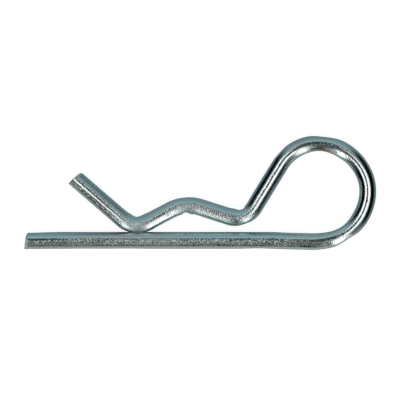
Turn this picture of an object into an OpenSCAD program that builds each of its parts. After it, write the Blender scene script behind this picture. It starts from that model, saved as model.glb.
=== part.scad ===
// Hitch R clip: one length of round spring wire, cold bent in one plane and zinc plated.
//
// The clip lies on the XY plane. Its straight leg runs along X, with the cut end at -X, and goes
// through the cross hole of a hitch pin. The wire turns back in a round loop, which is the spring,
// and comes home over the leg as a waved arm that snaps over the outside of that pin.
//
// The wire is followed as a bender makes it: run straight, bend, run straight, bend. The heights
// of the waves above the leg are given, and the straight runs between them are worked out from
// those heights, so the arm still meets the leg when a radius or a slope is changed.

/* [Wire] */
// Diameter of the wire
wire_d = 4; // [2.5:0.1:5]

/* [Leg] */
// Straight leg, from its cut end to the first bend
leg_l = 57.6; // [50:0.1:75]
// Angle by which the leg dips below its own line before the loop
dip_a = 1.9; // [0.5:0.1:4]
// Centreline radius of the bend into the dip
dip_r = 47; // [20:1:80]
// Straight run from the dip to the loop
dip_l = 7.9; // [3:0.1:12]

/* [Loop] */
// Turn of the easy bend that leads into the loop
entry_a = 16.8; // [10:0.1:20]
// Centreline radius of that easy bend
entry_r = 18.3; // [14:0.1:40]
// Turn of the loop's lower quarter
lower_a = 78.8; // [70:0.1:85]
// Centreline radius of the loop's lower quarter
lower_r = 11.7; // [10:0.1:14]
// Turn of the loop's tight nose
nose_a = 20.4; // [15:0.1:35]
// Centreline radius of the nose
nose_r = 9.7; // [8:0.1:12]
// Turn of the loop's upper part
upper_a = 60.4; // [50:0.1:68]
// Centreline radius of the loop's upper part
upper_r = 12.2; // [10:0.1:14]
// Centreline radius of the last bend, which turns down into the shoulder
shoulder_r = 10.4; // [9:0.1:12]

/* [Arm] */
// Slope of the shoulder, down to the leg
shoulder_a = 58.6; // [50:0.1:65]
// Gap between the leg and the trough next to the loop
throat_gap = 1.4; // [0.6:0.1:3]
// Centreline radius of that trough
throat_r = 5.2; // [4.5:0.1:7]
// Slope of the hump on the loop's side
climb_a = 17.8; // [14:0.1:25]
// Gap between the leg and the top of the hump, where half of the hitch pin sits
grip_gap = 4.3; // [3.8:0.1:8]
// Centreline radius of the hump
hump_r = 8.8; // [7:0.1:11]
// Slope of the hump on the free end's side
fall_a = 28.9; // [22:0.1:35]
// Running gap where the arm rests on the leg
rest_gap = 0.1; // [0.05:0.01:0.3]
// How deep the arm is pressed flat where it rests on the leg
rest_flat = 0.38; // [0.1:0.01:0.6]
// Centreline radius of the trough that rests on the leg
rest_r = 5.5; // [4.5:0.1:8]
// Slope of the free arm
arm_a = 40.8; // [32:0.1:50]
// Straight free arm, from the last bend to its cut end
arm_l = 15; // [9:0.1:20]

/* [Tool marks] */
// How deep the outside of the loop is pressed flat, at two places
press_flat = 0.42; // [0.1:0.01:0.6]
// How deep the inside of the loop is pressed, opposite those flats
press_bite = 0.3; // [0.1:0.01:0.5]
// Radius of the round tool that presses the inside of the loop
press_r = 7; // [5:0.1:7.5]
// Direction of the wire at the loop's lower flat
low_press_h = 32; // [25:1:80]
// Direction of the wire at the loop's upper flat
high_press_h = 174; // [150:1:185]
// Radius of the pins that form the arm's three bends
former_r = 2; // [1.5:0.1:2.3]
// How deep those pins bite into the throat and the hump
former_bite = 0.33; // [0.1:0.01:0.5]
// How deep the last pin bites above the trough that rests on the leg
rest_bite = 0.17; // [0.05:0.01:0.4]

/* [Cut ends] */
// How far the shear left the leg's end off square
leg_slant = 7; // [0:0.1:15]
// How far the shear left the arm's end off square
arm_slant = 5; // [0:0.1:15]
// Radius of the corner that the shear rolled over
roll_r = 0.8; // [0.2:0.05:1]

/* [Hidden] */
$fn = 64;
wire_r = wire_d / 2;

// Every second piece of the path is slimmer by seam and longer by bury at each end, so that its
// ends lie inside its neighbours and the pieces join into one wire
seam = 0.01;
bury = 0.1;
// How far a cutter reaches past what it cuts
past = 1;

// Heights of the arm's centreline above the leg's
throat_y = wire_d + throat_gap;
crest_y = wire_d + grip_gap;
rest_y = wire_d + rest_gap - rest_flat;

// A piece of the path is a straight run, or a bend with its radius and its turn, left positive
function run(l) = [l, 0, 0];
function bend(r, turn) = [0, r, turn];

// A pose is a point and the wire's direction there. A piece leads from its pose to the next one.
function left_of(h) = [-sin(h), cos(h)];
function to_centre(piece, h) = (piece[2] < 0 ? -1 : 1) * piece[1] * left_of(h);
function bend_point(pose, piece, h) = [pose[0], pose[1]] + to_centre(piece, pose[2]) - to_centre(piece, h);
function run_point(pose, l) = [pose[0] + l * cos(pose[2]), pose[1] + l * sin(pose[2])];
function next_pose(pose, piece) =
    let (
        h = pose[2] + piece[2],
        p = piece[2] == 0 ? run_point(pose, piece[0]) : bend_point(pose, piece, h)
    )
    [p[0], p[1], h];
function pose_at(pieces, i) = i == 0 ? [0, 0, 0] : next_pose(pose_at(pieces, i - 1), pieces[i - 1]);

// The leg and the loop, up to where the shoulder starts down
LOOP = [
    run(leg_l),
    bend(dip_r, -dip_a),
    run(dip_l),
    bend(entry_r, entry_a),
    bend(lower_r, lower_a),
    bend(nose_r, nose_a),
    bend(upper_r, upper_a),
    bend(shoulder_r, 180 + shoulder_a + dip_a - entry_a - lower_a - nose_a - upper_a)
];

// A sloping run drops by what the bends at its ends leave over
function drop(r, slope) = r * (1 - cos(slope));
shoulder_y = pose_at(LOOP, len(LOOP))[1];
shoulder_l = (shoulder_y - throat_y - drop(throat_r, shoulder_a)) / sin(shoulder_a);
climb_l = (crest_y - throat_y - drop(throat_r + hump_r, climb_a)) / sin(climb_a);
fall_l = (crest_y - rest_y - drop(hump_r + rest_r, fall_a)) / sin(fall_a);

// The arm, from the shoulder to the free end
ARM = [
    run(shoulder_l),
    bend(throat_r, -shoulder_a - climb_a),
    run(climb_l),
    bend(hump_r, climb_a + fall_a),
    run(fall_l),
    bend(rest_r, -fall_a - arm_a),
    run(arm_l)
];

PATH = concat(LOOP, ARM);
POSES = [for (i = [0:len(PATH)]) pose_at(PATH, i)];
LAST = len(PATH) - 1;
THROAT = len(LOOP) + 1;
HUMP = THROAT + 2;
REST = HUMP + 2;

// The loop's bend in which the wire runs in direction h, and the point where it does
function turns_through(i, h) = PATH[i][2] > 0 && POSES[i][2] <= h && h < POSES[i + 1][2];
function loop_bend(h) = [for (i = [0:len(LOOP) - 1]) if (turns_through(i, h)) i][0];
function loop_point(h) = let (i = loop_bend(h)) bend_point(POSES[i], PATH[i], h);
function half_way(i) = (POSES[i][2] + POSES[i + 1][2]) / 2;

// The middle of the clip's outline, which becomes the origin
mid_x = (loop_point(90)[0] + wire_r - wire_r * tan(leg_slant)) / 2;
mid_y = (loop_point(180)[1] + loop_point(0)[1]) / 2;

// Sets its children on the wire, with +X along it and +Y towards the inside of its bend
module on_wire(p, h, turn) {
    translate([p[0], p[1], 0]) rotate([0, 0, h]) mirror([0, turn < 0 ? 1 : 0, 0]) children();
}

module on_bend(i, h) {
    on_wire(bend_point(POSES[i], PATH[i], h), h, PATH[i][2]) children();
}

module straight_tube(r, l, before, after) {
    translate([-before, 0, 0]) rotate([0, 90, 0]) cylinder(r = r, h = before + l + after);
}

module bent_tube(r, bend_r, turn, over) {
    over_a = over / bend_r * 180 / PI;
    translate([0, bend_r, 0])
        rotate([0, 0, -90 - over_a])
            rotate_extrude(angle = turn + 2 * over_a) translate([bend_r, 0]) circle(r = r);
}

// The wire from one piece of the path to another. Its free ends are left long for the shear.
module stretch(first, last) {
    for (i = [first:last]) {
        slim = i % 2 == 1;
        r = slim ? wire_r - seam : wire_r;
        over = slim ? bury : 0;
        turn = PATH[i][2];
        on_wire(POSES[i], POSES[i][2], turn)
            if (turn == 0)
                straight_tube(r, PATH[i][0], i == 0 ? past : over, i == LAST ? past : over);
            else
                bent_tube(r, PATH[i][1], abs(turn), over);
    }
}

// What a flat tool takes off the outside of a bend
module flat_cut(bend_r, depth) {
    half = sqrt(2 * (bend_r + wire_r) * depth) + past;
    translate([-half, -wire_r - past, -wire_d]) cube([2 * half, past + depth, 2 * wire_d]);
}

// What a round tool takes off the inside of a bend
module round_cut(tool_r, depth) {
    translate([0, wire_r - depth + tool_r, -wire_d]) cylinder(r = tool_r, h = 2 * wire_d);
}

// What the press takes off the loop where the wire runs in direction h
module press_cut(h) {
    on_bend(loop_bend(h), h) {
        flat_cut(PATH[loop_bend(h)][1], press_flat);
        round_cut(press_r, press_bite);
    }
}

// What the shear takes off an end at x = 0. The cut leans away from +Y, where the corner is
// rolled over by a circle that reaches just past the cut and just past the wire.
module shear_cut(slant) {
    roll_in = 0.95 * roll_r;
    roll_y = wire_r - roll_in;
    roll_x = (roll_in + roll_y * sin(slant)) / cos(slant);
    rotate([0, 0, -slant])
        translate([-wire_d, -wire_d, -wire_d]) cube([wire_d, 2 * wire_d, 2 * wire_d]);
    translate([roll_x, roll_y, -wire_d])
        difference() {
            translate([-wire_d, 0, 0]) cube([wire_d, wire_d, 2 * wire_d]);
            translate([0, 0, -past]) cylinder(r = roll_r, h = 2 * (wire_d + past));
        }
}

module leg_and_loop() {
    difference() {
        stretch(0, len(LOOP));
        shear_cut(leg_slant);
        press_cut(low_press_h);
        press_cut(high_press_h);
    }
}

module waved_arm() {
    difference() {
        stretch(THROAT, LAST);
        on_bend(THROAT, half_way(THROAT)) round_cut(former_r, former_bite);
        on_bend(HUMP, half_way(HUMP)) round_cut(former_r, former_bite);
        on_bend(REST, half_way(REST)) round_cut(former_r, rest_bite);
        on_bend(REST, 180) flat_cut(rest_r, rest_flat);
        on_wire(POSES[LAST + 1], POSES[LAST + 1][2] + 180, 1) shear_cut(arm_slant);
    }
}

module r_clip() {
    color([0.76, 0.81, 0.84])
        translate([-mid_x, -mid_y, wire_r]) {
            leg_and_loop();
            waved_arm();
        }
}

r_clip();
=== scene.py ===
# %% [markdown]
# # A hitch R clip pin in bright zinc
#
# The clip is one piece of round spring wire, 4 mm thick and about 177 mm long before it is
# bent. A straight leg goes through the hole in a hitch pin. The wire then turns back in an
# open loop, comes down to a throat, climbs over a hump that grips the outside of the pin,
# rests on the leg and flares up into a short arm.
#
# This lesson loads the packed model first. Every size below is in metres and in the same
# frame, so the dressed wire takes the place of the plain one with no fitting.

# %% Load the packed clip
import math
from collections import namedtuple

import bmesh
import bpy
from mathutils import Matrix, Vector


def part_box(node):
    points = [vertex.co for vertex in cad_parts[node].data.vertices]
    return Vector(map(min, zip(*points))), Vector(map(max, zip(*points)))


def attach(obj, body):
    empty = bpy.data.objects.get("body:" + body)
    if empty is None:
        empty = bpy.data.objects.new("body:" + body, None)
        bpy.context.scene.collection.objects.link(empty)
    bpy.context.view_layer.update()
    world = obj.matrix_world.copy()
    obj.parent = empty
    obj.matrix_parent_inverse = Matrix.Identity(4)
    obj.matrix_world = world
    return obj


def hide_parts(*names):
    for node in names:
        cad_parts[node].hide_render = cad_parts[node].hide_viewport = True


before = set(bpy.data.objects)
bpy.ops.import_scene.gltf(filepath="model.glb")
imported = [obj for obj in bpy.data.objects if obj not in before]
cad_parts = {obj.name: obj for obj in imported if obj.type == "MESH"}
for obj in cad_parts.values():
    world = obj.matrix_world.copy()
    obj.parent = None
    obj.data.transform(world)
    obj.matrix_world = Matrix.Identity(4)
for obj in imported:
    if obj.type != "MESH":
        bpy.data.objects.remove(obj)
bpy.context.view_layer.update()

lowest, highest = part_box("r_clip")
print("clip as packed, in mm:", [round(1000 * (b - a), 2) for a, b in zip(lowest, highest)])

# %% [markdown]
# ## The bends
#
# A wire bender works from a list: feed so much wire, then turn so many degrees round a pin
# of a known size. The same list describes the finished clip, so the centre line is walked
# from it rather than drawn as a free curve. A free curve would need its handles nudged until
# each radius was right, while here every straight and every radius is a real number.

# %% The bending list
MM = 0.001
WIRE = 4 * MM
HALF = WIRE / 2

# A straight step feeds wire. A bend has a radius and turns by so many degrees, left positive.
Step = namedtuple("Step", "name feed radius turn")
bends = [
    Step("leg", 57.6 * MM, 0, 0),
    Step("dip", 0, 47 * MM, -1.9),
    Step("run in", 7.9 * MM, 0, 0),
    Step("entry", 0, 18.3 * MM, 16.8),
    Step("lower loop", 0, 11.7 * MM, 78.8),
    Step("nose", 0, 9.7 * MM, 20.4),
    Step("upper loop", 0, 12.2 * MM, 60.4),
    Step("loop heel", 0, 10.4 * MM, 64.1),
    Step("shoulder", 11.776 * MM, 0, 0),
    Step("throat", 0, 5.2 * MM, -76.4),
    Step("climb", 7.294 * MM, 0, 0),
    Step("hump", 0, 8.8 * MM, 46.7),
    Step("fall", 5.792 * MM, 0, 0),
    Step("rest", 0, 5.5 * MM, -69.7),
    Step("arm", 15 * MM, 0, 0),
]
print(len(bends), "steps in the bending list")


# %% Where each step starts on the straight wire
def wire_used(step):
    return step.feed + step.radius * math.radians(abs(step.turn))


starts = {}
wire_length = 0.0
for step in bends:
    starts[step.name] = wire_length
    wire_length += wire_used(step)
print("wire before bending:", round(wire_length / MM, 1), "mm")

# %% [markdown]
# ## Walking the centre line
#
# Any point of the wire is found by its distance from the end of the leg. The walk goes
# through the list, and inside each step it is either straight on or part of a circle. It
# gives the place and the direction of the wire there, which is all that a ring needs. The
# leg and the arm are straight, so they also carry what lies just past their cut ends.


# %% Walk along the wire
def walk(distance):
    x, y, heading = 0.0, 0.0, 0.0
    for step in bends:
        part = distance if step.name == "arm" else min(distance, wire_used(step))
        if step.turn == 0:
            x += part * math.cos(heading)
            y += part * math.sin(heading)
        else:
            swing = math.copysign(part / step.radius, step.turn)
            side = math.copysign(step.radius, step.turn)
            x += side * (math.sin(heading + swing) - math.sin(heading))
            y -= side * (math.cos(heading + swing) - math.cos(heading))
            heading += swing
        distance -= part
        if distance <= 0:
            break
    return x, y, heading


# %% Set the walk on the packed clip
# The packed clip has its zero at the middle of its outline, this far from the leg's end.
middle_x = 41.4061 * MM
middle_y = 11.3131 * MM
end_x, end_y, end_heading = walk(wire_length)
print("arm ends at", round((end_x - middle_x) / MM, 2), round((end_y - middle_y) / MM, 2))
print("and points at", round(math.degrees(end_heading), 1), "degrees")

# %% [markdown]
# ## What the tools left in the wire
#
# The wire isn't a perfect tube. Two presses squeezed it where the loop was drawn round, on
# the outside and on the inside. Pins bit into the tight bends of the arm, and the rolls that
# straighten wire left shallow waves in the leg. These marks could be painted as bump, but
# they change the outline, so they are made in the mesh. Each mark says where it is, on which
# side, how deep, and how far it fades out before and after.

# %% Where the tools met the wire
# Left is the left hand of someone who walks from the leg's end: the inside of the loop.
LEFT, RIGHT = 1, -1
lower_press = starts["lower loop"] + 3.5 * MM
upper_press = starts["loop heel"] - 0.1 * MM
throat = starts["throat"] + 3.5 * MM
hump = starts["hump"] + 3.6 * MM
rest = starts["rest"] + 3.0 * MM
print("presses at", round(lower_press / MM, 1), "and", round(upper_press / MM, 1), "mm")

# %% Wide marks of presses and rolls
Mark = namedtuple("Mark", "side at depth before after")
rolled = [
    # the lower press, and the inside of the loop, thinned before and after it
    Mark(RIGHT, lower_press, 0.38 * MM, 3.5 * MM, 3.5 * MM),
    Mark(LEFT, lower_press + 0.5 * MM, 0.35 * MM, 10.0 * MM, 5.5 * MM),
    Mark(LEFT, starts["upper loop"], 0.06 * MM, 14.0 * MM, 14.0 * MM),
    # the upper press, and the outside of the loop, thinned after it
    Mark(RIGHT, upper_press, 0.34 * MM, 4.5 * MM, 4.0 * MM),
    Mark(LEFT, upper_press, 0.24 * MM, 6.0 * MM, 6.0 * MM),
    Mark(RIGHT, upper_press + 4.5 * MM, 0.08 * MM, 3.5 * MM, 14.0 * MM),
    Mark(RIGHT, starts["shoulder"] - 2.0 * MM, 0.12 * MM, 2.5 * MM, 2.5 * MM),
    # the way into the throat, and the outside of the hump, stretched as it was bent
    Mark(RIGHT, throat - 3.0 * MM, 0.06 * MM, 2.5 * MM, 2.5 * MM),
    Mark(RIGHT, hump + 1.0 * MM, 0.12 * MM, 6.0 * MM, 8.0 * MM),
    # the leg, dragged thin by the shear at its end and a little wavy after that
    Mark(LEFT, 0.0, 0.21 * MM, 1.0 * MM, 9.0 * MM),
    Mark(RIGHT, 14 * MM, 0.04 * MM, 6.0 * MM, 8.0 * MM),
    Mark(RIGHT, 24 * MM, 0.06 * MM, 6.0 * MM, 6.0 * MM),
    Mark(RIGHT, 55 * MM, 0.10 * MM, 5.0 * MM, 4.0 * MM),
    Mark(LEFT, 63 * MM, 0.06 * MM, 5.0 * MM, 7.0 * MM),
    Mark(RIGHT, 66 * MM, 0.03 * MM, 4.0 * MM, 6.0 * MM),
]
print(len(rolled), "wide marks, the deepest", round(max(m.depth for m in rolled) / MM, 2), "mm")

# %% Short bites of the pins, and the metal that they pushed up
bitten = [
    Mark(RIGHT, throat - 0.5 * MM, 0.38 * MM, 2.5 * MM, 3.0 * MM),
    Mark(LEFT, throat, 0.14 * MM, 2.0 * MM, 2.0 * MM),
    Mark(LEFT, hump, 0.35 * MM, 1.5 * MM, 1.5 * MM),
    Mark(RIGHT, rest + 0.5 * MM, 0.14 * MM, 2.5 * MM, 2.0 * MM),
]
swollen = [
    Mark(RIGHT, throat + 2.5 * MM, 0.12 * MM, 2.0 * MM, 2.0 * MM),
    Mark(LEFT, hump - 2.0 * MM, 0.15 * MM, 0.6 * MM, 0.6 * MM),
    Mark(LEFT, hump + 2.5 * MM, 0.10 * MM, 4.0 * MM, 4.0 * MM),
    Mark(RIGHT, rest - 2.5 * MM, 0.12 * MM, 2.0 * MM, 2.0 * MM),
    Mark(RIGHT, rest + 2.5 * MM, 0.12 * MM, 2.5 * MM, 2.5 * MM),
    # the burr that the shear left at the end of the leg, and the metal behind it
    Mark(RIGHT, 0.2 * MM, 0.08 * MM, 1.0 * MM, 1.0 * MM),
    Mark(RIGHT, 1.0 * MM, 0.04 * MM, 5.0 * MM, 5.0 * MM),
]
print(len(bitten), "bites and", len(swollen), "swellings")


# %% How a mark fades out
def fade(distance, centre, before, after):
    """1 at the centre, and softly down to 0 so far before it and so far after it."""
    away = distance - centre
    reach = before if away < 0 else after
    share = min(abs(away) / reach, 1.0)
    return 0.5 + 0.5 * math.cos(math.pi * share)


def depth_of(marks, distance, side):
    here = (mark for mark in marks if mark.side == side)
    return sum(mark.depth * fade(distance, mark.at, mark.before, mark.after) for mark in here)


print("the throat is bitten", round(depth_of(bitten, throat, RIGHT) / MM, 2), "mm deep")

# %% [markdown]
# ## Cutting back the round
#
# A tool takes off what stands past a certain depth, so it leaves a flat. A hard limit would
# leave a sharp rim round that flat, and squeezed steel never folds sharply. So the limit is
# soft: the surface bends over into the flat. A wide press leaves a softer rim than a pin,
# and two wires that wear on each other leave the crispest one.

# %% Press a soft flat into the round
ROLLED_RIM = 0.7
BITTEN_RIM = 0.35
WORN_RIM = 0.15
TOO_SHALLOW = 0.001 * MM


def soft_ramp(x):
    """Almost 0 below zero and almost x above it, with a smooth bend between the two."""
    return math.log1p(math.exp(x))


def cut_back(across, depth, rim):
    if depth < TOO_SHALLOW:
        return across
    over = (across - (HALF - depth)) / (rim * depth)
    return across - depth * soft_ramp(over) / soft_ramp(1 / rim)


print("a bite of 0.3 mm leaves", round(cut_back(HALF, 0.3 * MM, BITTEN_RIM) / MM, 2), "of 2 mm")

# %% [markdown]
# ## Where the arm rests on the leg
#
# The spring holds the arm down on the leg, and the two have worn into each other. On these
# centre lines two round wires would overlap there. Half of the overlap comes off the arm and
# half off the leg, and a gap thinner than a hair stays between them, so that the mesh never
# runs into itself. The arm touches the leg where the two are parallel, which is when the
# last bend has turned by the slope of the fall.

# %% Wear the arm and the leg alike
CONTACT_GAP = 0.02 * MM
TOUCH_REACH = 3 * MM
FALL_SLOPE = math.radians(28.9)
rest_radius = next(step.radius for step in bends if step.name == "rest")
touch_x, touch_y, touch_heading = walk(starts["rest"] + rest_radius * FALL_SLOPE)
print("the arm touches", round(touch_x / MM, 2), "mm along the leg,")
print("where it points at", round(math.degrees(touch_heading), 1), "degrees")


def worn(distance):
    """What the arm and the leg each lose where two round wires would overlap."""
    x, _, heading = walk(distance)
    along = x - HALF * math.sin(heading) - touch_x
    if abs(along) > TOUCH_REACH:
        return 0.0
    arm_bottom = touch_y + rest_radius - math.sqrt((rest_radius + HALF) ** 2 - along ** 2)
    return max(0.0, HALF + CONTACT_GAP - arm_bottom) / 2


print("each loses", round(worn(touch_x) / MM, 3), "mm at the touch")

# %% [markdown]
# ## One ring of the wire
#
# The skin is a row of rings, like the hoops of a barrel. A ring starts as a circle, and its
# points are given by how far across the clip's plane and how high they lie. The tools worked
# in that plane, so only the distance across changes: it is cut back by the wide marks, the
# bites and the wear, and pushed out where the metal had to go.


# %% Shape a ring
def ring_point(distance, angle):
    across = HALF * math.cos(angle)
    height = HALF * math.sin(angle)
    side = LEFT if across > 0 else RIGHT
    reach = cut_back(abs(across), depth_of(rolled, distance, side), ROLLED_RIM)
    reach = cut_back(reach, depth_of(bitten, distance, side), BITTEN_RIM)
    reach += depth_of(swollen, distance, side) * (abs(across) / HALF) ** 2
    if side == LEFT:
        reach = cut_back(reach, worn(distance), WORN_RIM)
    return side * reach, height


throat_left = ring_point(throat, 0)[0]
throat_right = ring_point(throat, math.pi)[0]
print("wire at the throat:", round((throat_left - throat_right) / MM, 2), "mm across")

# %% [markdown]
# ## The cut ends
#
# The ends are sheared, not sawn. A shear blade first drags the skin of the wire over, which
# leaves one corner rolled, and then the steel snaps and leaves the other corner sharp. The
# face leans a few degrees, is a little domed, and is duller than the skin. So an end is
# described by its lean in degrees, the side of its rolled corner, the radius of its two
# corners, the height of its dome, and how much rougher the zinc is on it.


# %% Describe the two ends
class CutEnd:
    def __init__(self, lean, rolled_towards, roll, sharp, dome, dull):
        self.lean = math.tan(math.radians(lean))
        self.rolled_towards = rolled_towards
        self.roll = roll
        self.sharp = sharp
        self.dome = dome
        self.dull = dull

    def corner(self, angle):
        """The radius of the corner, which changes from sharp to rolled round the wire."""
        share = 0.5 + 0.5 * math.cos(angle - self.rolled_towards)
        return self.sharp + (self.roll - self.sharp) * share ** 2


leg_end = CutEnd(
    lean=9, rolled_towards=0.0, roll=0.60 * MM, sharp=0.19 * MM, dome=0.08 * MM, dull=0.55
)
arm_end = CutEnd(
    lean=7.5, rolled_towards=math.pi, roll=0.60 * MM, sharp=0.18 * MM, dome=0.06 * MM, dull=0.25
)
print("half way round, the leg's corner is", round(leg_end.corner(math.pi / 2) / MM, 2), "mm")

# %% What changes close to an end
LEAN_OVER = 4 * MM
TORN_OVER = 0.8 * MM


def near_ends(distance, over):
    """1 at the leg's end and at the arm's end, and down to 0 over so much wire."""
    near_leg = max(0.0, 1 - distance / over)
    near_arm = max(0.0, 1 - (wire_length - distance) / over)
    return near_leg, near_arm


def lean_of(distance, across):
    """How far a point is shifted along the wire, for a face that isn't square."""
    near_leg, near_arm = near_ends(distance, LEAN_OVER)
    return across * (leg_end.lean * near_leg + arm_end.lean * near_arm)


def torn(distance):
    """How much duller the zinc is on a cut end than on the drawn skin."""
    near_leg, near_arm = near_ends(distance, TORN_OVER)
    return leg_end.dull * near_leg + arm_end.dull * near_arm


print("lean of the leg's face:", round(2 * lean_of(0.0, HALF) / MM, 2), "mm over its width")

# %% [markdown]
# ## How the zinc changes along the wire
#
# Plating copies the steel under it. Where the wire was bent hard or pressed, its skin went
# coarse like orange peel, and round the loop it was drawn tight and stayed smooth. So each
# step of the bending list gets a zinc of its own: how coarse its grain stands, and how dull
# it is. Between the middles of two steps the values blend, because a border would show as a
# ring. One material with values that change is simpler here than a material for each step.

# %% Coarse and dull, step by step
# How coarse the zinc is on each step, and how dull
skin = {
    "leg": (1.08, 0.06),
    "dip": (1.08, 0.06),
    "run in": (1.00, 0.11),
    "entry": (0.68, 0.05),
    "lower loop": (0.70, 0.05),
    "nose": (0.62, 0.05),
    "upper loop": (0.62, 0.05),
    "loop heel": (0.70, 0.05),
    "shoulder": (0.85, 0.05),
    "throat": (1.20, 0.15),
    "climb": (1.15, 0.14),
    "hump": (1.20, 0.25),
    "fall": (0.80, 0.10),
    "rest": (1.30, 0.27),
    "arm": (0.98, 0.05),
}
middles = [(starts[step.name] + wire_used(step) / 2, *skin[step.name]) for step in bends]


def skin_at(distance):
    """How coarse and how dull the zinc is, blended from one step to the next."""
    if distance <= middles[0][0]:
        return middles[0][1:]
    for (before, *skin_before), (after, *skin_after) in zip(middles, middles[1:]):
        if distance <= after:
            share = (distance - before) / (after - before)
            return [a + (b - a) * share for a, b in zip(skin_before, skin_after)]
    return middles[-1][1:]


print("coarse and dull at the throat:", [round(value, 2) for value in skin_at(throat)])

# %% [markdown]
# ## Films, and painted shade where the arm lies on the leg
#
# The clear film on zinc is never even. Where it is thicker it turns brown, rosy or blue.
# Inside the loop's heel one brown spot also makes the wire much darker. Where the arm lies on
# the leg, the crevice between them is painted a dark, shiny blue: painted shade. Each such
# place is a spot on one side of the wire, with how far it reaches and how strong it is. It
# grows from nothing on top to its full strength well out to that side; for the films, that is
# because the top is wiped clean in handling.

# %% Coloured spots on the sides of the wire
Spot = namedtuple("Spot", "side at reach amount")
browned = [
    # This first spot makes the inside of the loop's heel much darker, in deep brown.
    Spot(LEFT, starts["loop heel"] - 0.5 * MM, 4.5 * MM, 0.75),
    Spot(RIGHT, starts["loop heel"] + 5.0 * MM, 6.0 * MM, 0.22),
    Spot(RIGHT, starts["leg"] + 5.0 * MM, 14.0 * MM, 0.15),
    Spot(LEFT, starts["arm"] + 7.0 * MM, 10.0 * MM, 0.15),
]
rosy = [
    Spot(LEFT, starts["leg"] + 21.0 * MM, 14.0 * MM, 0.9),
    Spot(RIGHT, starts["loop heel"] + 2.0 * MM, 7.0 * MM, 0.5),
]
blued = [
    Spot(LEFT, starts["climb"] + 2.0 * MM, 11.0 * MM, 0.42),
    Spot(LEFT, starts["leg"] + 46.0 * MM, 16.0 * MM, 0.16),
]
# The leg is straight, so a place on it is also a distance along the wire.
# Painted shade in the crevice where the arm lies on the leg, on the arm and on the leg under it.
contact_shade_spots = [
    Spot(LEFT, starts["rest"] + 2.8 * MM, 6.0 * MM, 1.0),
    Spot(LEFT, touch_x, 7.0 * MM, 1.0),
]
# The last spots are the painted shade between the arm and the leg.
print(len(browned + rosy + blued), "coloured spots and", len(contact_shade_spots), "stains")

# %% Measure a spot
SIDE_FROM = 0.6 * HALF


def towards_side(spots, distance, across):
    """How strong the spots are here: nothing in the middle, and full well out to a side."""
    side = LEFT if across > 0 else RIGHT
    towards = min(1.0, abs(across) / SIDE_FROM)
    here = (spot for spot in spots if spot.side == side)
    return towards * sum(s.amount * fade(distance, s.at, s.reach, s.reach) for s in here)


brown_heel = towards_side(browned, starts["loop heel"], HALF)
print("brown inside the loop's heel:", round(brown_heel, 2))

# %% [markdown]
# ## Rubbed and burnished places
#
# Loose clips rub on each other from the plating barrel onwards. That wore the grain off the
# side of the leg that faces the arm, and off narrow strips on top of the leg's end, the
# loop's entry, the shoulder and the arm. The presses squeezed the grain flat next to their
# marks, and one stretch of the leg is faintly hazy. Only the grain and the roughness change
# here, because bare rubbed zinc has the same colour.

# %% Places where the grain is worn or squeezed flat
RUBBED_FROM = 0.7 * HALF
STRIP = 0.22 * HALF
STRIP_REACH = 2 * STRIP

rubbed_side = [Spot(LEFT, starts["leg"] + 30.0 * MM, 42.0 * MM, 0.7)]
burnished = [
    Spot(RIGHT, lower_press - 1.5 * MM, 5.0 * MM, 0.6),
    Spot(LEFT, upper_press - 5.0 * MM, 5.0 * MM, 0.6),
    Spot(LEFT, upper_press + 4.5 * MM, 4.0 * MM, 0.5),
]
rubbed_top = [
    Spot(LEFT, starts["arm"] + 5.0 * MM, 20.0 * MM, 0.80),
    Spot(LEFT, starts["shoulder"] + 6.0 * MM, 9.0 * MM, 0.30),
    Spot(LEFT, starts["leg"] + 3.0 * MM, 10.0 * MM, 0.70),
    Spot(RIGHT, starts["entry"] + 2.5 * MM, 7.0 * MM, 0.30),
]
print(len(rubbed_side + burnished + rubbed_top), "rubbed and burnished places")


# %% Measure the rubbing and the haze
def rubbed_at(distance, across, height):
    """How much of the grain is gone, on the sides and in strips on top."""
    side = towards_side(rubbed_side, distance, across) * min(1.0, abs(across) / RUBBED_FROM)
    side += towards_side(burnished, distance, across)
    if height < 0:
        return side
    strips = (
        fade(distance, strip.at, strip.reach, strip.reach)
        * fade(across, strip.side * STRIP, STRIP_REACH, STRIP_REACH)
        * strip.amount
        for strip in rubbed_top
    )
    return side + sum(strips)


HAZE = 0.10
HAZE_REACH = 26.0 * MM
haze_middle = starts["leg"] + 32.0 * MM


def haze_at(distance):
    return HAZE * fade(distance, haze_middle, HAZE_REACH, HAZE_REACH)


print("grain gone from the arm's top:", round(rubbed_at(starts["arm"], STRIP, HALF), 2))

# %% [markdown]
# ## Points that remember the straight wire
#
# Each point of the skin keeps where it was on the straight wire, as an attribute. The finish
# reads that later, so that grain and draw lines follow the wire round every bend, and meet
# with no seam. The zinc that was worked out above is kept in the same way. Attributes travel
# with the mesh, and a texture painted on an unwrapped wire would have seams and blur.

# %% A mesh with room for the zinc
bent_skin = bmesh.new()
straight_wire = bent_skin.verts.layers.float_vector.new("straight_wire")
# The blue value holds the blue film and also the painted shade between the arm and the leg.
zinc_layers = [
    bent_skin.verts.layers.float.new(name)
    for name in ("coarse", "dull", "brown", "rose", "blue")
]
coarse, dull, brown, rose, blue = zinc_layers
print(len(zinc_layers), "values of the zinc are kept at each point")

# %% Plate one point
RUBBED_DULL = 0.2
# The painted shade between the arm and the leg gathers at the wire's side and is made shinier.
CONTACT_SHADE_FALL = 6
CONTACT_SHADE_SHINE = 0.5


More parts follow.
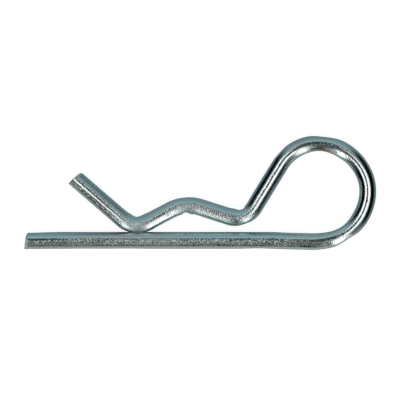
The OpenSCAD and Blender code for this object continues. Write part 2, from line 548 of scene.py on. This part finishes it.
def plate(vert, distance, across, height):
    """Keep how the zinc turned out at one point."""
    vert[coarse], vert[dull] = skin_at(distance)
    vert[coarse] *= 1 - rubbed_at(distance, across, height)
    vert[dull] += RUBBED_DULL * towards_side(rubbed_side, distance, across)
    vert[dull] += haze_at(distance)
    vert[dull] += torn(distance)
    vert[brown] = towards_side(browned, distance, across)
    vert[rose] = towards_side(rosy, distance, across)
    # Painted shade in the crevice between arm and leg: deep blue right at the side, and less
    # dull.
    painted_contact_shade = towards_side(contact_shade_spots, distance, across) * (across / HALF) ** CONTACT_SHADE_FALL
    vert[dull] *= 1 - CONTACT_SHADE_SHINE * painted_contact_shade
    vert[blue] = towards_side(blued, distance, across) * (across / HALF) ** 2 + painted_contact_shade


# The painted shade between the arm and the leg takes off this share of the dullness.
print("a stain takes off", CONTACT_SHADE_SHINE, "of the dullness")


# %% Place one point on the bent wire
def place(distance, across, height):
    x, y, heading = walk(distance)
    point = (
        x - across * math.sin(heading) - middle_x,
        y + across * math.cos(heading) - middle_y,
        HALF + height,
    )
    vert = bent_skin.verts.new(point)
    vert[straight_wire] = (distance, across, height)
    plate(vert, distance, across, height)
    return vert


print("the wire's lowest line lies at a height of", HALF + ring_point(rest, -math.pi / 2)[1])

# %% [markdown]
# ## Rings
#
# Rings every quarter of a millimetre follow the centre line, 64 points to a ring. That keeps
# the tool marks crisp and the outline round. Along the wire the rings are square to it, and
# close to an end they lean with its face. There, each point of a ring may also be drawn in
# towards the middle and pushed along the wire by an amount of its own. Those rings run out
# to where the corner starts, then round it on a quarter circle, and close over the dome.

# %% Make one ring
AROUND = 64
ANGLES = [2 * math.pi * k / AROUND for k in range(AROUND)]
AS_IT_IS = (0.0,) * AROUND


def ring(distance, drawn_in=AS_IT_IS, pushed=AS_IT_IS):
    made = []
    for angle, inwards, along in zip(ANGLES, drawn_in, pushed):
        across, height = ring_point(distance, angle)
        share = 1 - inwards / HALF
        across *= share
        height *= share
        made.append(place(distance + lean_of(distance, across) + along, across, height))
    return made


print(AROUND, "points make a ring")

# %% Run out to the corner
INSET = 0.9 * MM
RUN_OUT_STEPS = 4


def run_out(end, distance, outwards):
    """Rings over the last stretch, where the corner's start changes round the wire."""
    rows = []
    for i in range(1, RUN_OUT_STEPS + 1):
        share = i / RUN_OUT_STEPS
        short = [-INSET + (INSET - end.corner(angle)) * share for angle in ANGLES]
        rows.append(ring(distance, pushed=[outwards * along for along in short]))
    return rows


print(RUN_OUT_STEPS, "rings over the last", INSET / MM, "mm")

# %% Go round the corner
CORNER_STEPS = 6


def round_corner(end, distance, outwards):
    """Rings on the quarter circle of the corner, sharp on one side and rolled on the other."""
    rows = []
    corners = [end.corner(angle) for angle in ANGLES]
    for i in range(1, CORNER_STEPS + 1):
        turned = 0.5 * math.pi * i / CORNER_STEPS
        drawn_in = [corner * (1 - math.cos(turned)) for corner in corners]
        pushed = [outwards * corner * (math.sin(turned) - 1) for corner in corners]
        rows.append(ring(distance, drawn_in, pushed))
    return rows


print(CORNER_STEPS, "rings round a corner")

# %% Close over the domed face
DOME_STEPS = 5


def dome_face(end, distance, outwards):
    """Rings that close over the face, up to the one round its middle."""
    rows = []
    for i in range(1, DOME_STEPS):
        share = 1 - i / DOME_STEPS
        drawn_in = [HALF - (HALF - end.corner(angle)) * share for angle in ANGLES]
        rise = outwards * end.dome * (1 - share ** 2)
        rows.append(ring(distance, drawn_in, [rise] * AROUND))
    return rows


def end_rings(end, distance, outwards):
    """All the rings of an end, from the wire's side to the middle of its face."""
    rows = run_out(end, distance, outwards)
    rows += round_corner(end, distance, outwards)
    rows += dome_face(end, distance, outwards)
    return rows


print(RUN_OUT_STEPS + CORNER_STEPS + DOME_STEPS - 1, "rings at each end")

# %% Make all the rings
SPACING = 0.25 * MM
FACE_INSIDE = 0.07 * MM

whole = wire_length - 2 * INSET
count = round(whole / SPACING)
body_rings = [ring(INSET + whole * i / count) for i in range(count + 1)]
# The faces stand a little inside the wire's length, so that the burr stays in the packed box.
leg_rings = end_rings(leg_end, FACE_INSIDE, -1)
arm_rings = end_rings(arm_end, wire_length - FACE_INSIDE, 1)
rings = leg_rings[::-1] + body_rings + arm_rings
print(len(rings), "rings")


# %% Join the rings and close the ends
def cap(last_ring, towards_end):
    """Close an end over the last small ring, with a point in its middle."""
    centre = bent_skin.verts.new(sum((v.co for v in last_ring), Vector()) / AROUND)
    centre[straight_wire] = sum((v[straight_wire] for v in last_ring), Vector()) / AROUND
    for layer in zinc_layers:
        centre[layer] = sum(v[layer] for v in last_ring) / AROUND
    for a, b in zip(last_ring, last_ring[1:] + last_ring[:1]):
        bent_skin.faces.new((a, b, centre) if towards_end else (b, a, centre))


for one, other in zip(rings, rings[1:]):
    for k in range(AROUND):
        after = (k + 1) % AROUND
        bent_skin.faces.new((one[k], one[after], other[after], other[k]))
cap(rings[0], False)
cap(rings[-1], True)
bmesh.ops.recalc_face_normals(bent_skin, faces=bent_skin.faces)
print(len(bent_skin.faces), "faces in the skin")

# %% Put the wire in the scene
mesh = bpy.data.meshes.new("bent_wire")
bent_skin.to_mesh(mesh)
bent_skin.free()
mesh.shade_smooth()
clip = bpy.data.objects.new("bent_wire", mesh)
bpy.context.scene.collection.objects.link(clip)

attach(clip, "root")
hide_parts("r_clip")
print("the bent wire stands for the packed clip, with", len(mesh.vertices), "points")

# %% [markdown]
# ## Shader maths in plain Python
#
# A finish is mostly arithmetic on patterns. Wiring Math nodes by hand hides that arithmetic,
# so a small class wraps a socket and lets the usual signs add the nodes. A second one makes
# every other node, from its type, its settings and what goes into its sockets.


# %% A socket that can be added and multiplied
class Value:
    def __init__(self, tree, socket):
        self.tree = tree
        self.socket = socket

    def math(self, operation, one, other):
        return self.tree.node("ShaderNodeMath", {"operation": operation}, {0: one, 1: other})

    def __add__(self, other):
        return self.math("ADD", self, other)

    def __radd__(self, other):
        return self.math("ADD", other, self)

    def __sub__(self, other):
        return self.math("SUBTRACT", self, other)

    def __rsub__(self, other):
        return self.math("SUBTRACT", other, self)

    def __mul__(self, other):
        return self.math("MULTIPLY", self, other)

    def __rmul__(self, other):
        return self.math("MULTIPLY", other, self)

    def smooth(self, low, high):
        """0 below low and 1 above high, with a smooth rise between them."""
        settings = {"interpolation_type": "SMOOTHSTEP"}
        return self.tree.node("ShaderNodeMapRange", settings, {0: self, 1: low, 2: high})

    def neighbour(self, number):
        """Another output of the node that this value comes from."""
        return Value(self.tree, self.socket.node.outputs[number])


print("signs that add nodes: + - *")


# %% A tree that makes the other nodes
class Tree:
    def __init__(self, owner):
        owner.use_nodes = True
        self.nodes = owner.node_tree.nodes
        self.links = owner.node_tree.links
        self.nodes.clear()

    def node(self, kind, settings=None, sockets=None, out=0):
        made = self.nodes.new(kind)
        for name, value in (settings or {}).items():
            setattr(made, name, value)
        for key, value in (sockets or {}).items():
            self.feed(made.inputs[key], value)
        return Value(self, made.outputs[out]) if made.outputs else made

    def feed(self, socket, value):
        if isinstance(value, Value):
            self.links.new(value.socket, socket)
        else:
            socket.default_value = value

    def blend(self, share, one, other):
        settings = {"data_type": "RGBA"}
        return self.node("ShaderNodeMix", settings, {0: share, 6: one, 7: other}, out=2)

    def scale(self, vector, by):
        settings = {"operation": "MULTIPLY"}
        return self.node("ShaderNodeVectorMath", settings, {0: vector, 1: by})

    def noise(self, vector, size, detail):
        sockets = {"Vector": vector, "Scale": 1 / size, "Detail": detail}
        return self.node("ShaderNodeTexNoise", None, sockets)


print("helpers of a tree:", [name for name in vars(Tree) if not name.startswith("_")])

# %% [markdown]
# ## Bright zinc on drawn wire
#
# The steel is plated with zinc and dipped in a clear blue passivate. Zinc grows as fine
# crystals, so the skin is bright but pebbled at a quarter of a millimetre or less, and that
# pebbling is what breaks a reflection into sparkle. Under it are faint lines from the drawing
# die, and over it a thin film that drifts from blue to grey, with a little straw. An image
# could carry all this, but noise that is laid on the straight wire has no seams and is sharp
# from any distance. It is squeezed or drawn out along the wire to suit each pattern.

# %% Start the zinc
zinc = bpy.data.materials.new("bright_zinc")
plating = Tree(zinc)
clip.data.materials.append(zinc)


def kept_at_points(name, out):
    """A value that the points of the wire carry, from the colour, vector or number output."""
    return plating.node("ShaderNodeAttribute", {"attribute_name": name}, out=out)


VECTOR, NUMBER = 1, 2
on_wire = kept_at_points("straight_wire", VECTOR)
coarse_here = kept_at_points("coarse", NUMBER)
dull_here = kept_at_points("dull", NUMBER)
brown_here = kept_at_points("brown", NUMBER)
rose_here = kept_at_points("rose", NUMBER)
blue_film_and_shade_here = kept_at_points("blue", NUMBER)
print("the zinc reads", len(plating.nodes), "values from the mesh")


# %% Patterns on the straight wire
def pattern(size, squeeze, detail):
    """Noise of one size across the wire, and squeezed so many times along it."""
    return plating.noise(plating.scale(on_wire, (squeeze, 1.0, 1.0)), size, detail)


pebbles = pattern(0.26 * MM, 1.7, detail=0.0)
draw_lines = pattern(0.25 * MM, 0.04, detail=1.0)
film = pattern(2.6 * MM, 0.35, detail=2.0)
handling = plating.noise(on_wire, 6 * MM, detail=2.0)
patches = pattern(0.8 * MM, 0.25, detail=1.0).smooth(0.25, 0.75)
print("nodes with the patterns:", len(plating.nodes))

# %% Relief
RELIEF = 0.026 * MM

# The pebbles stand a little taller in some patches than in others.
taller = 0.85 + 0.3 * patches
relief = (pebbles - 0.5) * coarse_here * taller + 0.4 * draw_lines
bump = plating.node(
    "ShaderNodeBump",
    None,
    {"Strength": 1.0, "Distance": RELIEF, "Height": relief},
)
print("a full step of the relief is", RELIEF / MM, "mm")

# %% Colour
blue_zinc = (0.70, 0.79, 0.82, 1)
grey_zinc = (0.76, 0.80, 0.80, 1)
straw_zinc = (0.80, 0.77, 0.68, 1)
brown_zinc = (0.30, 0.24, 0.17, 1)
rose_zinc = (0.80, 0.69, 0.70, 1)
# Deep blue is the blue film at the wire's sides, and painted shade between the arm and the leg.
deep_blue_film_and_shade = (0.10, 0.40, 0.48, 1)

greyed = film.smooth(0.35, 0.65)
strawed = 0.6 * film.smooth(0.62, 0.80)
colour = plating.blend(greyed, blue_zinc, grey_zinc)
colour = plating.blend(strawed, colour, straw_zinc)
colour = plating.blend(brown_here, colour, brown_zinc)
colour = plating.blend(rose_here, colour, rose_zinc)
colour = plating.blend(blue_film_and_shade_here, colour, deep_blue_film_and_shade)
print("films over the blue zinc: grey, straw, brown, rose, deep blue")

# %% Roughness, and the finished zinc
handled = handling.smooth(0.3, 0.7)
rough = dull_here + 0.03 * handled
finish = plating.node(
    "ShaderNodeBsdfPrincipled",
    None,
    {"Base Color": colour, "Metallic": 1.0, "Roughness": rough, "Normal": bump},
)
plating.node("ShaderNodeOutputMaterial", None, {"Surface": finish})
print("zinc nodes:", len(plating.nodes))

# %% [markdown]
# ## The table
#
# A pale table that glows faintly gives a clean background. The metal must not mirror it, or
# the underside of the wire would turn white, so the table is hidden from reflections. It
# gives the wire no light and throws no shadow: it is only there to be seen behind the clip.


# %% A flat card
def flat_card(name, corner, across, up, material):
    """A flat face from one corner and its two edges, which isn't part of the clip."""
    corner, across, up = Vector(corner), Vector(across), Vector(up)
    points = [corner, corner + across, corner + across + up, corner + up]
    data = bpy.data.meshes.new(name)
    data.from_pydata([tuple(p) for p in points], [], [(0, 1, 2, 3)])
    uv = data.uv_layers.new(name="card")
    for loop, place_on_card in zip(uv.data, ((0, 0), (1, 0), (1, 1), (0, 1))):
        loop.uv = place_on_card
    data.materials.append(material)
    made = bpy.data.objects.new(name, data)
    bpy.context.scene.collection.objects.link(made)
    return made


print("each card has a map named card, which runs from 0 to 1 both ways")

# %% The pale table
TABLE_SIZE = 6.0
TABLE_GLOW = 0.84

pale = bpy.data.materials.new("pale_table")
paper = Tree(pale)
sheet = paper.node(
    "ShaderNodeBsdfPrincipled",
    None,
    {
        "Base Color": (0.50, 0.50, 0.50, 1),
        "Roughness": 1.0,
        "Specular IOR Level": 0.0,
        "Emission Color": (1, 1, 1, 1),
        "Emission Strength": TABLE_GLOW,
    },
)
paper.node("ShaderNodeOutputMaterial", None, {"Surface": sheet})
half = TABLE_SIZE / 2
table = flat_card("table", (-half, -half, 0), (TABLE_SIZE, 0, 0), (0, TABLE_SIZE, 0), pale)
table.visible_glossy = False
table.visible_diffuse = False
table.visible_shadow = False
print("table:", TABLE_SIZE, "m wide")

# %% [markdown]
# ## Soft boxes and cards
#
# Polished wire shows its surroundings more than itself, so the cards round it draw its light
# and dark lines. Area lamps would do for light alone, but a card has a shape, a colour and
# soft edges that can be set where its reflection needs them, and it stays out of the view.
# Like cloth in front of a lamp, each card fades out towards its left, right, lower and upper
# edge, over a share of its size that is given for each.


# %% A card that glows with soft edges
def soft_card(name, corner, across, up, colour, strength, soft):
    left, right, lower, upper = soft
    made = bpy.data.materials.new(name)
    tree = Tree(made)
    spot = tree.node("ShaderNodeUVMap", {"uv_map": "card"})
    u = tree.node("ShaderNodeSeparateXYZ", None, {0: spot})
    v = u.neighbour(1)
    edge = u.smooth(0, left) * (1 - u).smooth(0, right)
    edge = edge * v.smooth(0, lower) * (1 - v).smooth(0, upper)
    light = tree.node("ShaderNodeEmission", None, {"Color": colour, "Strength": strength})
    clear = tree.node("ShaderNodeBsdfTransparent")
    both = tree.node("ShaderNodeMixShader", None, {0: edge, 1: clear, 2: light})
    tree.node("ShaderNodeOutputMaterial", None, {"Surface": both})
    card = flat_card(name, corner, across, up, made)
    card.visible_camera = False
    card.visible_shadow = False
    return card


print("soft cards glow, stay out of the view and throw no shadow")

# %% Cards overhead and cards at the near side
AWAY = 1.5


def ceiling(name, x0, x1, y0, y1, colour, strength, soft):
    """A card overhead. Its sides are given as shares of how far away it is."""
    corner = (x0 * AWAY, y0 * AWAY, AWAY)
    across, up = ((x1 - x0) * AWAY, 0, 0), (0, (y1 - y0) * AWAY, 0)
    return soft_card(name, corner, across, up, colour, strength, soft)


def near_wall(name, x0, x1, z0, z1, colour, strength, soft):
    """A card that stands at the near side, with its sides given in the same way."""
    corner = (x0 * AWAY, -AWAY, z0 * AWAY)
    across, up = ((x1 - x0) * AWAY, 0, 0), (0, 0, (z1 - z0) * AWAY)
    return soft_card(name, corner, across, up, colour, strength, soft)


print("cards stand", AWAY, "m away")

# %% Colours of the light
white = (1.0, 1.0, 0.97, 1)
sky_grey = (0.76, 0.95, 0.98, 1)
blue_grey = (0.60, 0.94, 0.98, 1)
pale_grey = (0.88, 0.97, 1.0, 1)
near_grey = (0.88, 1.0, 0.95, 1)
cool_grey = (0.84, 1.0, 0.96, 1)
warm_grey = (1.0, 0.97, 0.84, 1)
print("the far light is", round(blue_grey[2] / blue_grey[0], 2), "times as blue as it is red")

# %% [markdown]
# ## Light from above
#
# A stretch of wire mirrors only what stands square to it. Two long soft boxes hang left and
# right of the lens, so the parts of the loop that run from the near side to the far side
# mirror them as two bright lines. The leg runs from left to right, and mirrors the gap
# between the boxes. Only two faint cards hang there, which leaves its top a dark core.

# %% Hang the soft boxes
# name, left, right, near and far side, colour, strength, soft edges
overhead = [
    ceiling("soft_box_left", -0.78, -0.165, -0.55, 0.46, white, 1.40, (0.45, 0.08, 0.20, 0.15)),
    ceiling("soft_box_right", 0.145, 1.00, -0.62, 0.38, white, 1.40, (0.08, 0.62, 0.20, 0.2)),
    ceiling("near_gap", -0.18, 0.18, -1.60, 0.05, cool_grey, 0.13, (0.1, 0.1, 0.05, 0.15)),
    ceiling("far_gap", -0.18, 0.18, -0.10, 0.5, blue_grey, 0.06, (0.1, 0.1, 0.15, 0.1)),
]
print(len(overhead), "cards overhead")

# %% [markdown]
# ## Light from the near side
#
# Each slope of the arm mirrors its own part of the near side. So tall bright panels stand
# there with dimmer cards beside them, which keeps their reflections from ending at an edge.
# Strips of warm grey fill the middle, and a low card that reaches below the height of the
# table lights the near flank of the whole wire.

# %% Stand the near panels
# name, left, right, lower and upper side, colour, strength, soft edges
near_side = [
    near_wall("panel_left", -0.69, -0.45, -0.25, 1.8, white, 2.8, (0.15, 0.2, 0.15, 0.05)),
    near_wall("panel_left_edge", -0.48, -0.20, -0.4, 1.8, pale_grey, 0.45, (0.1, 0.4, 0.15, 0.4)),
    near_wall("glow_left", -1.5, -0.66, -0.3, 1.9, pale_grey, 0.13, (0.5, 0.1, 0.3, 0.2)),
    near_wall("panel_right", 0.30, 0.80, -0.45, 1.8, white, 1.95, (0.12, 0.40, 0.25, 0.05)),
    near_wall("glow_right", 0.60, 1.7, -0.3, 1.9, pale_grey, 0.16, (0.2, 0.5, 0.3, 0.2)),
    near_wall("near_middle", -0.3, 0.3, 0.10, 1.3, warm_grey, 0.04, (0.1, 0.1, 0.15, 0.5)),
    near_wall("middle_left", -0.30, -0.11, 0.08, 1.3, warm_grey, 0.80, (0.1, 0.15, 0.1, 0.5)),
    near_wall("middle_right", 0.11, 0.22, 0.08, 1.3, warm_grey, 0.70, (0.3, 0.2, 0.1, 0.5)),
    near_wall("near_low", -1.6, 1.6, -1.6, 0.12, near_grey, 0.42, (0.2, 0.2, 0.1, 0.12)),
]
print(len(near_side), "cards at the near side")

# %% [markdown]
# ## Light from the left and the far side
#
# The sides of the room stay dark, which draws the black lines along the loop. Only a narrow
# strip glows at the height of the table on the left. A large blue-grey card stands at the
# far side, and a ceiling reaches from it towards the lens. The two give the wire's far flank
# its cool, even grey.

# %% Stand the far cards
FAR_UP = 1.5 * AWAY

# name, corner, the two edges from it, colour, strength, soft edges
soft_card(
    "left_horizon", (-AWAY, -0.4 * AWAY, -0.10 * AWAY), (0, 0.8 * AWAY, 0), (0, 0, 0.26 * AWAY),
    sky_grey, 0.30, (0.2, 0.2, 0.4, 0.4),
)
soft_card(
    "far_card", (-1.18 * AWAY, AWAY, -FAR_UP), (2.28 * AWAY, 0, 0), (0, 0, 2 * FAR_UP),
    blue_grey, 0.42, (0.2, 0.2, 0.8, 0.05),
)
ceiling("far_ceiling", -1.2, 1.2, 0.36, 1.62, sky_grey, 0.50, (0.35, 0.35, 0.25, 0.6))
print("the far card reaches", FAR_UP, "m up and down")

# %% [markdown]
# ## The dark room
#
# Past the cards there is only the room. It is almost black above the table and straight
# below it, and a dim blue-grey in between, on the way down. The wire's lower flanks show
# that grey where no card reaches. A picture of a real room would add shapes to the wire that
# nothing in this one explains.

# %% Paint the room
dark = (0.003, 0.004, 0.004, 1)
dim_blue_grey = (0.18, 0.26, 0.28, 1)

world = bpy.data.worlds.new("dark_room")
room = Tree(world)
direction = room.node("ShaderNodeTexCoord")
upwards = room.node("ShaderNodeSeparateXYZ", None, {0: direction}, out=2)
below_table = 1 - upwards.smooth(-0.45, 0.02)
not_straight_down = upwards.smooth(-1.0, -0.7)
room_colour = room.blend(below_table * not_straight_down, dark, dim_blue_grey)
sky = room.node("ShaderNodeBackground", None, {"Color": room_colour, "Strength": 1.0})
room.node("ShaderNodeOutputWorld", None, {"Surface": sky})
bpy.context.scene.world = world
print("room nodes:", len(room.nodes))

# %% [markdown]
# ## The camera
#
# The clip is seen flat, from straight above. A very long lens keeps the view almost parallel,
# so the round wire shows no more of one side at the ends than in the middle. The distance
# follows from the width that the view takes in at the height of the wire's centre line.

# %% Place the camera
LENS = 600.0
SENSOR = 36.0
VIEW_WIDTH = 94.68 * MM
AIM_X = -0.04 * MM
AIM_Y = -1.76 * MM

lens = bpy.data.cameras.new("long_lens")
lens.lens = LENS
lens.sensor_width = SENSOR
lens.clip_start = 0.1
lens.clip_end = 20.0
camera = bpy.data.objects.new("camera", lens)
camera.location = (AIM_X, AIM_Y, HALF + VIEW_WIDTH * LENS / SENSOR)
bpy.context.scene.collection.objects.link(camera)
bpy.context.scene.camera = camera
bpy.context.scene.view_settings.view_transform = "Standard"
print("camera height:", round(camera.location.z, 3), "m")

# %% [markdown]
# ## Both sizes
# The dressed wire must not be bigger than the packed one.
